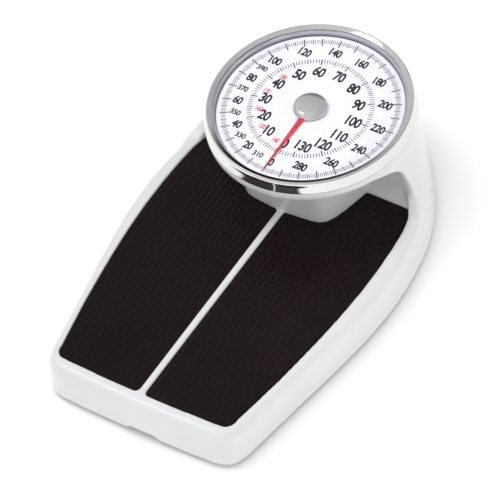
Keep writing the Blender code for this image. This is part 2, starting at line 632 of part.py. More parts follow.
cut(hanger_plate, rod("pivot_holes", (1, 0, 0), (-12, CRANK_Y, CRANK_Z), (24, CRANK_Y, CRANK_Z),
                      2.3, sides=18))
guide = box("rack_guide", (9.7, 100, BRIDGE_Z1 + GAP), (20, 122, BRIDGE_Z1 + GAP + 1.4), STEEL)
join(guide, box("guide_wall", (9.7, 100, BRIDGE_Z1 + GAP), (11.2, 122, 133.2)))

# ---- rack, pinion and pointer ----
PITCH = 2 * math.pi * PINION_R / TEETH
TIP, ROOT = PINION_R + 0.45, PINION_R - 0.6
gear = []
for k in range(TEETH):
    a = 2 * math.pi * (k + 0.5) / TEETH
    for r, off in ((ROOT, -0.56), (TIP, -0.15), (TIP, 0.15), (ROOT, 0.56)):
        t = a + off * PITCH / (2 * PINION_R)
        gear.append((r * math.cos(t), r * math.sin(t)))
pinion = plate("pinion", [gear], RACK_Z0, RACK_Z1, BRASS, (0, DIAL_Y, 0))
cut(pinion, rod("pinion_bore", (0, 0, 1), (0, DIAL_Y, 120), (0, DIAL_Y, 140), 1.8, sides=16))
rack_end = CRANK_Y + rack_pin_at[0]
teeth = []
for k in range(-2, 24):
    y = DIAL_Y + k * PITCH
    for x, off in ((RACK_X, -0.28), (PINION_R - 0.45, -0.09), (PINION_R - 0.45, 0.09), (RACK_X, 0.28)):
        teeth.append((x, y + off * PITCH))
rack = plate("rack", [[(9.2, rack_end + 4), (RACK_X, rack_end + 4)] + teeth[::-1]
                      + [(RACK_X, 120.0), (9.2, 120.0)]], RACK_Z0, RACK_Z1, BRASS)
join(rack, box("rack_tail", (4.9, rack_end - 3.8, BRIDGE_Z1 + 0.4), (9.0, rack_end + 3.8, 133.4)))
cut(rack, box("rack_fork", (2, rack_end - 1.5, BRIDGE_Z1 - 2), (12, rack_end + 1.5, 132.4)))

rod("pointer_shaft", (0, 0, 1), (0, DIAL_Y, 121.6), (0, DIAL_Y, 139.6), 1.5, STEEL, sides=16)
revolve("shaft_bushing", [(1.8, 121.9), (5.4, 121.9), (5.4, BRIDGE_Z0 - GAP), (3.5, BRIDGE_Z0 - GAP),
                          (3.5, 127.6), (1.8, 127.6)], 16, BRASS, (0, DIAL_Y, 0), closed=True)
blade = mirrored([(0.7, -92), (1.3, -70), (3.1, -18), (4, -7)])
pointer = plate("pointer", [blade], 136.5, 137.4, RED, (0, DIAL_Y, 0))
join(pointer, rod("pointer_hub", (0, 0, 1), (0, DIAL_Y, 136.3), (0, DIAL_Y, 137.5), 8.5, sides=28))
cut(pointer, rod("pointer_bore", (0, 0, 1), (0, DIAL_Y, 134), (0, DIAL_Y, 139), 1.8, sides=16))
revolve("hub_cap", [(0, 140.0), (1.8, 140.0), (1.8, 137.8), (17.6, 137.8), (18.6, 138.2), (18.6, 138.9),
                    (17.2, 139.7), (15.2, 141.6), (12, 143.2), (8, 144.2), (4, 144.7), (0, 144.85)],
        32, CHROME, (0, DIAL_Y, 0))

# ---- dial head ----
dial = plate("dial_plate", [arc(0, DIAL_Y, 103.4, 0, 360 - 5, 71)], DIAL_TOP - DIAL_THICK, DIAL_TOP, CARD)
cut(dial, rod("dial_hole", (0, 0, 1), (0, DIAL_Y, 130), (0, DIAL_Y, 140), 3.0))
revolve("lens_spacer", [(98.8, DIAL_TOP + GAP), (103.4, DIAL_TOP + GAP), (103.4, 140.3), (102.3, 140.3)],
        48, GREY, (0, DIAL_Y, 0), closed=True)
revolve("dial_lens", [(0, 145.4), (35, 145.0), (70, 143.6), (95, 141.5), (103.4, 140.6), (103.4, 142.2),
                      (95, 143.1), (70, 145.2), (35, 146.6), (0, 147.0)],
        48, CLEAR, (0, DIAL_Y, 0))
revolve("dial_bezel", [(112.5, RING_TOP + GAP), (110.4, 141.8), (109.5, 143.7), (107.9, 145.0),
                       (106.2, 144.8), (102.9, 142.8), (103.9, 142.5), (103.9, RING_TOP + GAP)],
        64, CHROME, (0, DIAL_Y, 0), closed=True)
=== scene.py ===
import bpy
import bmesh
import json
import math
from mathutils import Matrix, Vector


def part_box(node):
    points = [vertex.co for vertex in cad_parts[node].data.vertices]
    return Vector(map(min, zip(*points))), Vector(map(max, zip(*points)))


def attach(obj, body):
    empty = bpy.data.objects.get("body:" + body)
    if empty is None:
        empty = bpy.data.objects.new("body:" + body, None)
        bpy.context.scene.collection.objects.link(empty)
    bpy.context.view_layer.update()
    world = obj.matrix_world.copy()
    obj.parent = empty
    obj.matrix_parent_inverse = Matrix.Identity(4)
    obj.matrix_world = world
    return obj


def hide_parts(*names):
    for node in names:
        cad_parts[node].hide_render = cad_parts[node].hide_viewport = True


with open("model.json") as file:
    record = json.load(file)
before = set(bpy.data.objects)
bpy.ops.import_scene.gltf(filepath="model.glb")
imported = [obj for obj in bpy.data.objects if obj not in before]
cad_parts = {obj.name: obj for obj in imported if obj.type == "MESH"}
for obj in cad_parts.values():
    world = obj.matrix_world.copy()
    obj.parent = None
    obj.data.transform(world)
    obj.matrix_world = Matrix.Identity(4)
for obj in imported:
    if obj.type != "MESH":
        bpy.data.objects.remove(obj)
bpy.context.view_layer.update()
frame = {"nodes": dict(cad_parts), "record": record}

# Lengths below are millimetres unless a comment says otherwise. MM turns them into metres.
MM = 0.001


def span(node):
    """Lowest and highest corner of a CAD node, in millimetres."""
    low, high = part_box(node)
    return low / MM, high / MM


# ---- places read from the frame ----
bezel_low, bezel_high = span("dial_bezel")
cover_low, cover_high = span("platform_cover")
mat_low, mat_high = span("mat_right")
spacer_low, spacer_high = span("lens_spacer")
pointer_low, pointer_high = span("pointer")
DIAL_Y = (bezel_low.y + bezel_high.y) / 2
DIAL_TOP = span("dial_plate")[1].z
LENS_TOP = span("dial_lens")[1].z
HUB_BOTTOM = span("hub_cap")[0].z
SKIRT_BOTTOM = cover_low.z
LEDGE_STEP = 2.7                   # the dial ring's inner ledge stands this far above its outer top
RING_TOP = cover_high.z - LEDGE_STEP
LIP_TOP = mat_high.z + 1.0         # top of the white edge around the mats
GAP = 0.3                          # around and under the mats
POCKET_FLOOR = mat_low.z - GAP

# ---- camera: long lens, looking down on the front right corner ----
TARGET = Vector((-10.2, -7.4, 52.0)) * MM
AZIMUTH, ELEVATION, ROLL = (math.radians(a) for a in (40.32, 50.04, 10.37))
DISTANCE = 7.2036                  # metres
LENS = 511.0

out_dir = Vector((math.cos(ELEVATION) * math.sin(AZIMUTH), -math.cos(ELEVATION) * math.cos(AZIMUTH),
                  math.sin(ELEVATION)))
camera = bpy.data.objects.new("camera", bpy.data.cameras.new("camera"))
camera.data.lens = LENS
camera.data.sensor_width = 36.0
camera.data.clip_end = 60.0
camera.matrix_world = (Matrix.Translation(TARGET + out_dir * DISTANCE)
                       @ out_dir.to_track_quat("Z", "Y").to_matrix().to_4x4()
                       @ Matrix.Rotation(-ROLL, 4, "Z"))
bpy.context.scene.collection.objects.link(camera)
bpy.context.scene.camera = camera
bpy.context.scene.view_settings.view_transform = "Standard"


# ---- materials ----
class Tree:
    """Short way to add nodes to one material."""

    def __init__(self, name):
        self.material = bpy.data.materials.new(name)
        self.material.use_nodes = True
        self.nodes = self.material.node_tree.nodes
        self.links = self.material.node_tree.links
        self.shader = self.nodes["Principled BSDF"]
        self.coords = self.nodes.new("ShaderNodeTexCoord").outputs["Object"]

    def noise(self, scale, detail=3.0, stretch=(1, 1, 1)):
        """Noise from 0 to 1, with about scale features to the metre."""
        mapping = self.nodes.new("ShaderNodeMapping")
        mapping.inputs["Scale"].default_value = stretch
        self.links.new(self.coords, mapping.inputs["Vector"])
        node = self.nodes.new("ShaderNodeTexNoise")
        node.inputs["Scale"].default_value = scale
        node.inputs["Detail"].default_value = detail
        node.inputs["Roughness"].default_value = 0.55
        self.links.new(mapping.outputs["Vector"], node.inputs["Vector"])
        return node.outputs["Fac"]

    def spread(self, value, low, high, from_low=0.3, from_high=0.7):
        """Maps a value onto the range from low to high."""
        node = self.nodes.new("ShaderNodeMapRange")
        node.inputs["From Min"].default_value = from_low
        node.inputs["From Max"].default_value = from_high
        node.inputs["To Min"].default_value = low
        node.inputs["To Max"].default_value = high
        self.links.new(value, node.inputs["Value"])
        return node.outputs["Result"]

    def product(self, a, b):
        """Two values multiplied."""
        node = self.nodes.new("ShaderNodeMath")
        node.operation = "MULTIPLY"
        self.links.new(a, node.inputs[0])
        self.links.new(b, node.inputs[1])
        return node.outputs[0]

    def blend(self, factor, a, b):
        """Colour a where factor is 0 and b where it is 1. Each is a colour or a socket."""
        node = self.nodes.new("ShaderNodeMix")
        node.data_type = "RGBA"
        self.links.new(factor, node.inputs["Factor"])
        for socket, colour in ((node.inputs[6], a), (node.inputs[7], b)):
            if isinstance(colour, tuple):
                socket.default_value = (*colour, 1.0)
            else:
                self.links.new(colour, socket)
        return node.outputs[2]

    def mottle(self, a, b, scale, detail=3.0, stretch=(1, 1, 1), from_low=0.3, from_high=0.7):
        """Soft patches of the colours a and b."""
        patches = self.spread(self.noise(scale, detail, stretch), 0.0, 1.0, from_low, from_high)
        return self.blend(patches, a, b)

    def edges(self, low, high):
        """0 on flat stretches and 1 on the sharp convex edges."""
        point = self.nodes.new("ShaderNodeNewGeometry").outputs["Pointiness"]
        return self.spread(point, 0.0, 1.0, low, high)

    def bump(self, height, distance, strength):
        """Relief from a height. Its depth is in metres."""
        node = self.nodes.new("ShaderNodeBump")
        node.inputs["Distance"].default_value = distance
        node.inputs["Strength"].default_value = strength
        self.links.new(height, node.inputs["Height"])
        return node.outputs["Normal"]

    def connect(self, colour=None, rough=None, normal=None, **fixed):
        """Links the sockets to the shader, sets its other inputs by name and returns the material."""
        for name, socket in (("Base Color", colour), ("Roughness", rough), ("Normal", normal)):
            if socket is not None:
                self.links.new(socket, self.shader.inputs[name])
        for name, value in fixed.items():
            self.shader.inputs[name.replace("_", " ")].default_value = value
        return self.material


def enamel():
    """Glossy white finish with a soft orange peel and faint rubbed patches."""
    t = Tree("white_enamel")
    tone = t.mottle((0.74, 0.74, 0.752), (0.77, 0.77, 0.782), scale=7.0)
    rub = t.spread(t.noise(26.0, 6.0), 0.0, 0.18, 0.56, 0.75)
    tone = t.blend(rub, tone, (0.72, 0.72, 0.73))
    rough = t.spread(t.noise(35.0, 4.0), 0.13, 0.22)
    peel = t.bump(t.noise(300.0, 1.0), 0.00008, 0.06)
    return t.connect(tone, rough, peel, IOR=1.52, Coat_Weight=0.6, Coat_Roughness=0.06)


def rubber():
    """Black rubber with a brown cast, patches of dust and a fine grain."""
    t = Tree("black_rubber")
    tone = t.mottle((0.0060, 0.0018, 0.0026), (0.0095, 0.0036, 0.0046), scale=11.0)
    dust = t.spread(t.noise(130.0, 6.0), 0.0, 0.16, 0.58, 0.8)
    tone = t.blend(dust, tone, (0.026, 0.018, 0.018))
    rough = t.spread(t.noise(45.0, 4.0), 0.25, 0.34)
    grain = t.bump(t.noise(1600.0, 2.0), 0.00003, 0.12)
    return t.connect(tone, rough, grain, IOR=1.45, Specular_IOR_Level=0.2)


def chrome():
    """Bright plating with faint smears and hairline marks."""
    t = Tree("chrome_plate")
    tone = t.mottle((0.72, 0.72, 0.72), (0.80, 0.80, 0.80), scale=14.0)
    smear = t.spread(t.noise(50.0, 5.0), 0.035, 0.09)
    line = t.bump(t.noise(260.0, 2.0, (1, 1, 14)), 0.00002, 0.05)
    return t.connect(tone, smear, line, Metallic=1.0)


def satin_ring():
    """Brushed grey metal of the cone between the dial and the lens, with painted shade that darkens it
    towards the dial.
    """
    t = Tree("satin_ring")
    tone = t.mottle((0.36, 0.35, 0.40), (0.48, 0.47, 0.51), scale=30.0, stretch=(1, 1, 9))
    split = t.nodes.new("ShaderNodeSeparateXYZ")
    t.links.new(t.coords, split.inputs["Vector"])
    # painted shade: the colour goes darker down the cone towards the dial, where shade falls in the recess
    deepest_shade, shade_ends = spacer_low.z + 0.4, spacer_low.z + 3.4
    painted_shade = t.spread(split.outputs["Z"], 1.0, 0.0, deepest_shade * MM, shade_ends * MM)
    tone = t.blend(painted_shade, tone, (0.075, 0.065, 0.105))
    rough = t.spread(t.noise(90.0, 3.0, (1, 1, 6)), 0.30, 0.42)
    line = t.bump(t.noise(120.0, 3.0, (1, 1, 16)), 0.00006, 0.2)
    return t.connect(tone, rough, line, Metallic=0.6)


def lens_clear():
    """Clear lens with faint smears."""
    t = Tree("clear_lens")
    tone = t.mottle((1.0, 1.0, 1.0), (0.985, 0.99, 0.99), scale=18.0)
    smear = t.spread(t.noise(40.0, 5.0), 0.0, 0.03, 0.45, 0.75)
    return t.connect(tone, smear, IOR=1.3, Transmission_Weight=1.0)


def card():
    """White printed dial face."""
    t = Tree("dial_card")
    tone = t.mottle((0.595, 0.585, 0.645), (0.625, 0.615, 0.675), scale=16.0)
    rough = t.spread(t.noise(200.0, 2.0), 0.45, 0.6)
    grain = t.bump(t.noise(2400.0, 1.0), 0.00002, 0.1)
    return t.connect(tone, rough, grain)


def ink(name, colour, worn):
    """Printing ink, thinner in fine patches."""
    t = Tree(name)
    tone = t.mottle(colour, worn, scale=420.0, from_low=0.35, from_high=0.65)
    return t.connect(tone, t.spread(t.noise(150.0), 0.4, 0.55), Specular_IOR_Level=0.05)


def painted(name, colour, worn, rough_low, rough_high, metallic=0.0):
    """Paint, plastic or plated metal: a mottled tone, worn convex edges and a light grain."""
    t = Tree(name)
    tone = t.mottle(colour, tuple(c * 0.86 for c in colour), scale=28.0, detail=4.0)
    wear = t.product(t.edges(0.52, 0.60), t.spread(t.noise(110.0, 5.0), 0.0, 1.0, 0.4, 0.65))
    tone = t.blend(wear, tone, worn)
    rough = t.spread(t.noise(80.0, 4.0), rough_low, rough_high)
    grain = t.bump(t.noise(700.0, 3.0, (1, 3, 1)), 0.00005, 0.15)
    return t.connect(tone, rough, grain, Metallic=metallic)


LOOKS = {                           # one for each of the record's material slots
    "white_gloss": enamel(),
    "black_rubber": rubber(),
    "chrome": chrome(),
    "clear_lens": lens_clear(),
    "dial_card": card(),
    "pointer_red": painted("pointer_red", (0.43, 0.008, 0.020), (0.36, 0.03, 0.035), 0.32, 0.44),
    "zinc_steel": painted("zinc_steel", (0.52, 0.53, 0.55), (0.68, 0.68, 0.69), 0.28, 0.45, 1.0),
    "painted_pan": painted("painted_pan", (0.080, 0.066, 0.058), (0.20, 0.17, 0.15), 0.42, 0.60),
    "brass": painted("brass", (0.70, 0.50, 0.22), (0.80, 0.62, 0.33), 0.24, 0.40, 1.0),
    "grey_plastic": painted("grey_plastic", (0.19, 0.19, 0.20), (0.30, 0.30, 0.31), 0.40, 0.55),
}
SATIN = satin_ring()
BLACK_INK = ink("dial_ink_black", (0.0015, 0.0015, 0.002), (0.005, 0.005, 0.006))
GREY_INK = ink("dial_ink_grey", (0.028, 0.028, 0.032), (0.05, 0.05, 0.055))
RED_INK = ink("dial_ink_red", (0.44, 0.018, 0.028), (0.50, 0.035, 0.045))

for part in frame["record"]["subparts"]:
    look = LOOKS[part["material_slot"]]
    for slot in frame["nodes"][part["node"]].material_slots:
        slot.link = "OBJECT"
        slot.material = look


# ---- mesh helpers ----
def solid(name, bm):
    """Object made from a bmesh."""
    mesh = bpy.data.meshes.new(name)
    bm.to_mesh(mesh)
    bm.free()
    obj = bpy.data.objects.new(name, mesh)
    bpy.context.scene.collection.objects.link(obj)
    return obj


def make(name, bm, look, slot_name, body, *nodes):
    """Turns a bmesh in millimetres into a shown piece that rides on a body and replaces nodes."""
    bmesh.ops.recalc_face_normals(bm, faces=bm.faces)
    bmesh.ops.scale(bm, vec=(MM, MM, MM), verts=bm.verts)
    piece = solid(name, bm)
    piece.data.materials.append(look)
    if nodes:
        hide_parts(*nodes)
    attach(piece, body)
    return piece


def shade(piece, degrees):
    """Smooth shading, with creases kept above an angle."""
    piece.data.shade_smooth()
    piece.data.set_sharp_from_angle(angle=math.radians(degrees))


def smooth(points, steps):
    """Closed Catmull-Rom curve through the points."""
    out, n = [], len(points)
    for i in range(n):
        p0, p1, p2, p3 = (Vector(points[(i + k) % n]) for k in (-1, 0, 1, 2))
        for s in range(steps):
            t = s / steps
            out.append(0.5 * (2 * p1 + (p2 - p0) * t + (2 * p0 - 5 * p1 + 4 * p2 - p3) * t ** 2
                              + (3 * p1 - p0 - 3 * p2 + p3) * t ** 3))
    return [(p.x, p.y) for p in out]


def mirrored(half):
    """Closed counter-clockwise loop from a right half that runs front to back."""
    return list(half) + [(-x, y) for x, y in reversed(half) if x > 0.01]


def inset(loop, distance):
    """Moves each point of a counter-clockwise loop inwards along its mean normal."""
    out, n = [], len(loop)
    for i, (x, y) in enumerate(loop):
        (ax, ay), (bx, by) = loop[i - 1], loop[(i + 1) % n]
        normal = Vector((by - ay, ax - bx)).normalized()
        out.append((x - normal.x * distance, y - normal.y * distance))
    return out


def arc(cx, cy, r, start, end, steps):
    """Points on a circle between two angles in degrees."""
    angles = (math.radians(start + (end - start) * i / steps) for i in range(steps + 1))
    return [(cx + r * math.cos(a), cy + r * math.sin(a)) for a in angles]


def lookup(table, x):
    """Straight-line value between the (x, value) rows of a table."""
    for (x0, v0), (x1, v1) in zip(table, table[1:]):
        if x <= x1:
            return v0 + (v1 - v0) * max(x - x0, 0.0) / (x1 - x0)
    return table[-1][1]


def outward(bm):
    """Makes all faces of a closed mesh look outwards."""
    bmesh.ops.recalc_face_normals(bm, faces=bm.faces)
    if bm.calc_volume(signed=True) < 0:
        bmesh.ops.reverse_faces(bm, faces=bm.faces)
    return bm


def loft_mesh(sections):
    """Closed solid through loops of equal length, given as (z, [(x, y), ...])."""
    bm = bmesh.new()
    rings = [[bm.verts.new((x, y, z)) for x, y in loop] for z, loop in sections]
    for low, high in zip(rings, rings[1:]):
        for i in range(len(low)):
            bm.faces.new((low[i - 1], low[i], high[i], high[i - 1]))
    for ring in (rings[0], rings[-1]):
        bm.faces.new(ring)
    bmesh.ops.triangulate(bm, faces=bm.faces)
    return outward(bm)


def revolve_mesh(profile, steps, closed=True):
    """Turns an (r, z) profile about the dial's axis. Points on the axis become poles."""
    bm = bmesh.new()
    rows = []
    for r, z in profile:
        if r < 1e-6:
            rows.append([bm.verts.new((0, DIAL_Y, z))] * steps)
        else:
            angles = (2 * math.pi * i / steps for i in range(steps))
            rows.append([bm.verts.new((r * math.cos(a), DIAL_Y + r * math.sin(a), z)) for a in angles])
    pairs = list(zip(rows, rows[1:])) + ([(rows[-1], rows[0])] if closed else [])
    for a, b in pairs:
        for i in range(steps):
            corners = []
            for v in (a[i - 1], a[i], b[i], b[i - 1]):
                if v not in corners:
                    corners.append(v)
            if len(corners) > 2:
                bm.faces.new(corners)
    return outward(bm)


def rounded(profile, radius, steps=5):
    """Rounds each corner of a closed (r, z) profile with a curve about radius across."""
    out, n = [], len(profile)
    for i in range(n):
        a, b, c = (Vector(profile[(i + k) % n]) for k in (-1, 0, 1))
        cut_a = min(radius, (a - b).length * 0.45)
        cut_c = min(radius, (c - b).length * 0.45)
        p, q = b + (a - b).normalized() * cut_a, b + (c - b).normalized() * cut_c
        for s in range(steps + 1):
            t = s / steps
            v = p * (1 - t) ** 2 + b * 2 * t * (1 - t) + q * t ** 2
            out.append((v.x, v.y))
    return out


def settle(obj):
    """Applies all modifiers of a working solid."""
    graph = bpy.context.evaluated_depsgraph_get()
    mesh = bpy.data.meshes.new_from_object(obj.evaluated_get(graph))
    obj.modifiers.clear()
    obj.data = mesh


def combine(obj, operation, *others):
    """Joins working solids to the first one, or cuts it with them, and removes them."""
    for other in others:
        mod = obj.modifiers.new(other.name, "BOOLEAN")
        mod.solver = "MANIFOLD"
        mod.operation = operation
        mod.object = other
    settle(obj)
    for other in others:
        bpy.data.objects.remove(other)


def take(obj):
    """Turns a working solid back into a bmesh."""
    bm = bmesh.new()
    bm.from_mesh(obj.data)
    bpy.data.objects.remove(obj)
    return bm


# ---- outlines ----
# body outline at the skirt's lower edge, right half from the front to the back
OUTLINE = [(0, -240), (40, -239.6), (80, -238.4), (100, -236.4), (112, -229.5), (118.3, -217),
           (122.5, -195), (128, -162), (134, -127), (139.5, -95), (145, -60), (149.5, -25),
           (151.5, 10), (151, 40), (147.5, 72), (141, 105), (130.5, 134), (116.5, 160),
           (99, 185), (76.5, 209.5), (42, 231.5), (0, 240)]
# outer edge of the right mat, front to back
MAT_EDGE = [(107.6, -207), (112.5, -180), (118.5, -145), (122.9, -113), (127, -80), (130.4, -45),
            (132.5, -8), (132.7, 25), (131.6, 55), (129.3, 80), (125.6, 98), (121, 111)]
# foot of the column where it meets the mats, right half from the middle to the back
NOSE = [(0, 48.7), (20, 50.2), (35, 51.6), (44, 53.6), (51, 58.6), (56, 67.5), (60.1, 80),
        (63.5, 94), (67.8, 111)]
RIB_HALF = 4.04                    # half the white rib between the mats
MAT_FRONT = -223.0
FRONT_BOW = 5.76 / 150.0 ** 2      # the front edges curve back away from the middle
INNER_FRONT_R, OUTER_FRONT_R, BACK_R = 5.0, 11.0, 3.0      # corners of a mat
OUTER_FRONT = (96.4, MAT_FRONT + 13.2)                     # centre of its outer front corner
WALL = 3.0
RING_R, RING_BOTTOM = 112.0, 119.0
BORE_R, LEDGE_R, LEDGE_TOP = 98.5, 103.5, 133.7
body_edge = smooth(mirrored(OUTLINE), 6)
nose_edge = smooth(mirrored(NOSE + [(69.5, 128), (66, 150), (50, 172), (25, 184), (0, 188)]), 3)


def mat_loop(sign, grow):
    """One mat's edge, counter-clockwise, grown outwards by grow."""
    front = [(x, MAT_FRONT + FRONT_BOW * x * x) for x in (20, 35, 50, 65, 80)]
    right = arc(RIB_HALF + INNER_FRONT_R, MAT_FRONT + INNER_FRONT_R, INNER_FRONT_R, 180, 270, 6) + front
    right += arc(*OUTER_FRONT, OUTER_FRONT_R, -88, -8, 8)
    right += MAT_EDGE + NOSE[:0:-1]
    right += arc(RIB_HALF + BACK_R, NOSE[0][1] - 2.6, BACK_R, 90, 180, 4)
    right = inset(right, -grow)
    return right if sign > 0 else [(-x, y) for x, y in reversed(right)]


def mat_side(y):
    """Half-width just outside the mats' outer edge."""
    return lookup([(b, a) for a, b in MAT_EDGE], y) + 2.0


def outline_reach(loop, ray):
    """Distance from the dial axis to a loop along a ray."""
    best = 0.0
    for (ax, ay), (bx, by) in zip(loop, loop[1:] + loop[:1]):
        ay, by = ay - DIAL_Y, by - DIAL_Y
        side_a, side_b = ray.x * ay - ray.y * ax, ray.x * by - ray.y * bx
        if side_a * side_b <= 0 and side_a != side_b:
            t = side_a / (side_a - side_b)
            best = max(best, (ax + (bx - ax) * t) * ray.x + (ay + (by - ay) * t) * ray.y)
    return best


def crossing(line, y):
    """Point where a rising line of points reaches y."""
    for (ax, ay), (bx, by) in zip(line, line[1:]):
        if ay <= y <= by:
            t = (y - ay) / (by - ay)
            return (ax + (bx - ax) * t, y)
    return line[0]


def resample(line, count):
    """Evenly spaced points along an open line."""
    lengths = [0.0]
    for a, b in zip(line, line[1:]):
        lengths.append(lengths[-1] + math.dist(a, b))
    out, k = [], 0
    for i in range(count):
        want = lengths[-1] * i / (count - 1)
        while k < len(line) - 2 and lengths[k + 1] < want:
            k += 1
        t = (want - lengths[k]) / (lengths[k + 1] - lengths[k])
        out.append(tuple(a + (b - a) * t for a, b in zip(line[k], line[k + 1])))
    return out


# the next three are (height, value) tables: front of the arms, front wall between arm and column,
# and how far the outside lies in from the body outline
ARM_FRONT = [(32, 80), (50, 80), (54, 92), (60, 103), (70, 112), (84, 117), (100, 117), (108, 111),
             (114, 99), (RING_BOTTOM, 80), (200, 80)]
RECESS_WALL = [(32, 111.4), (52, 111.4), (60, 115), (70, 118), (100, 119), (200, 119)]
REAR_INSET = [(32, 2.4), (38, 1.7), (42, 1.46), (60, 1.2), (200, 1.2)]
NARROW_FROM = 46.0                 # the rear narrows from here up to the dial ring
ARM_FROM, ARM_OVER = 54.0, 16.0    # over this height the arms' inner corners move out
ARM_CORNER = 118.0
FIRST_RAY, RAYS, SIDE_POINTS = -38, 61, 48


def rear_section(z, thin):
    """Section of the cover's tall rear part: body outline below, dial ring above."""
    blend = min(max((z - NARROW_FROM) / (RING_BOTTOM - NARROW_FROM), 0.0), 1.0)
    blend = blend * blend * (3 - 2 * blend)
    y_arm, y_wall = lookup(ARM_FRONT, z) + 2.4 * thin, lookup(RECESS_WALL, z) + thin
    full = inset(body_edge, lookup(REAR_INSET, z) + thin)
    half = []
    for i in range(RAYS):
        a = math.radians(FIRST_RAY + (90 - FIRST_RAY) * i / (RAYS - 1))
        ray = Vector((math.cos(a), math.sin(a)))
        r = outline_reach(full, ray) * (1 - blend) + (RING_R - thin) * blend
        half.append((r * ray.x, DIAL_Y + r * ray.y))
    start = crossing(half, y_arm)
    side = resample([start] + [p for p in half if p[1] > y_arm + 0.5], SIDE_POINTS)
    lift = min(max((z - ARM_FROM) / ARM_OVER, 0.0), 1.0)
    y_mid = (y_arm + y_wall) / 2
    corner = min(ARM_CORNER, start[0] - 9.0)
    front = [(66.0, y_wall)]           # behind the column, so this end stays hidden
    for y, shift in ((y_wall, -8.0), (y_mid, -2.0), (y_arm, 1.5)):
        front.append((mat_side(y) * (1 - lift) + (corner + shift) * lift + thin * 0.9, y))
    return mirrored(front + side)


# share of the way from the column's own section to the neck under the ring, by height
NECK_R = 106.0
FLARE = [(0, 0.0), (62, 0.0), (80, 0.02), (95, 0.10), (106, 0.34), (113, 0.66), (RING_BOTTOM, 1.0)]


def nose_section(z, thin, rise):
    """Section of the column over the mats, flaring into the dial head's round underside."""
    blend = lookup(FLARE, z - rise)
    out = []
    for x, y in nose_edge:
        r, a = math.hypot(x, y - DIAL_Y), math.atan2(y - DIAL_Y, x)
        r = (r * (1 - blend) + NECK_R * blend) - thin
        out.append((r * math.cos(a), DIAL_Y + r * math.sin(a)))
    return out


def steps_between(low, high, count):
    """Evenly spaced heights, both ends included."""
    return [low + (high - low) * i / (count - 1) for i in range(count)]


# ---- platform cover: one smooth shell ----
SHOULDER = [(SKIRT_BOTTOM, 0.0), (30, 1.0), (42, 1.5), (45, 2.1), (47.6, 3.2), (49.6, 4.6), (51.2, 6.4),
            (52.4, 8.8), (LIP_TOP, 11.5)]                  # (height, distance in from the outline)
RING = [(BORE_R, RING_BOTTOM - 1.2), (107, RING_BOTTOM - 1.2), (110.8, RING_BOTTOM + 0.2),
        (RING_R, RING_BOTTOM + 2.0), (RING_R, RING_TOP), (LEDGE_R, RING_TOP),
        (LEDGE_R, LEDGE_TOP), (BORE_R, LEDGE_TOP)]
cover = solid("cover", loft_mesh([(z, inset(body_edge, d)) for z, d in SHOULDER]))
rear = solid("rear", loft_mesh([(z, rear_section(z, 0.0)) for z in steps_between(32, 118.8, 30)]))
column = solid("column", loft_mesh([(z, nose_section(z, 0.0, 0.0))
                                    for z in steps_between(46, RING_BOTTOM, 26)]))
ring = solid("ring", revolve_mesh(RING, 180))
combine(cover, "UNION", rear, column, ring)
hollow = solid("hollow", loft_mesh([(z, inset(body_edge, d)) for z, d in (
    (-2, WALL), (40, WALL + 1.0), (POCKET_FLOOR - WALL, WALL + 5.0))]))
rear_hollow = solid("rear_hollow", loft_mesh([(z, rear_section(min(z, 110), WALL))
                                              for z in (41, 54, 70, 92, 117)]))
column_hollow = solid("column_hollow", loft_mesh([(z, nose_section(z, thin, 2.0)) for z, thin in (
    (40, WALL), (62, WALL), (97, WALL), (110, 4.5), (RING_BOTTOM + 2.0, 8.2))]))
combine(hollow, "UNION", rear_hollow, column_hollow)
# finger notch under the front edge, a little to the right of the middle
NOTCH_X, NOTCH_FRONT, NOTCH_BACK = 6.0, -250, -226
notch_corners = ((-1, NOTCH_FRONT), (1, NOTCH_FRONT), (1, NOTCH_BACK), (-1, NOTCH_BACK))
notch = solid("notch", loft_mesh([(z, [(NOTCH_X + side * half, y) for side, y in notch_corners])
                                  for z, half in ((0, 21), (SKIRT_BOTTOM + 3.4, 16))]))
pockets = [solid("pocket", loft_mesh([(z, mat_loop(sign, GAP)) for z in (POCKET_FLOOR, LIP_TOP + 0.6)]))
           for sign in (-1, 1)]
combine(cover, "DIFFERENCE", hollow, notch, *pockets)

# even out the mesh, relax it so that the joins melt together, and thin it out
VOXEL, RELAX_STEPS = ((1.25, 30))
FREEDOM = [(0, 0.35), (54, 0.35), (60, 1.0), (200, 1.0)]   # how much a point relaxes, by height
KEPT_FACES = 0.36
remesh = cover.modifiers.new("even", "REMESH")
remesh.mode = "VOXEL"
remesh.voxel_size = VOXEL
settle(cover)
free = cover.vertex_groups.new(name="free")
for vert in cover.data.vertices:
    free.add([vert.index], lookup(FREEDOM, vert.co.z), "REPLACE")
relax = cover.modifiers.new("relax", "SMOOTH")
relax.factor = 0.5
relax.iterations = RELAX_STEPS
relax.vertex_group = "free"
settle(cover)
thin_out = cover.modifiers.new("thin", "DECIMATE")
thin_out.ratio = KEPT_FACES
settle(cover)
shell = make("cover_shell", take(cover), LOOKS["white_gloss"], "white_gloss", "platform", "platform_cover")
shell.data.shade_smooth()

# ---- mats: slab with raised squares ----
PITCH = 6.8
FIRST_PAD = (RIB_HALF + 3.6, MAT_FRONT + 3.0)              # nearest corner of the first square
PADS_ACROSS, PADS_ALONG = 20, 50   # enough to cover a mat; what passes its border is cut off
PAD_LEVELS = [(2.95, -1.2), (2.85, -0.55), (2.6, -0.2), (2.2, 0.0)]    # (half-width, height from the top)
SLAB_TOP = mat_high.z - 0.65
BORDER = 2.0                       # the plain edge around the squares


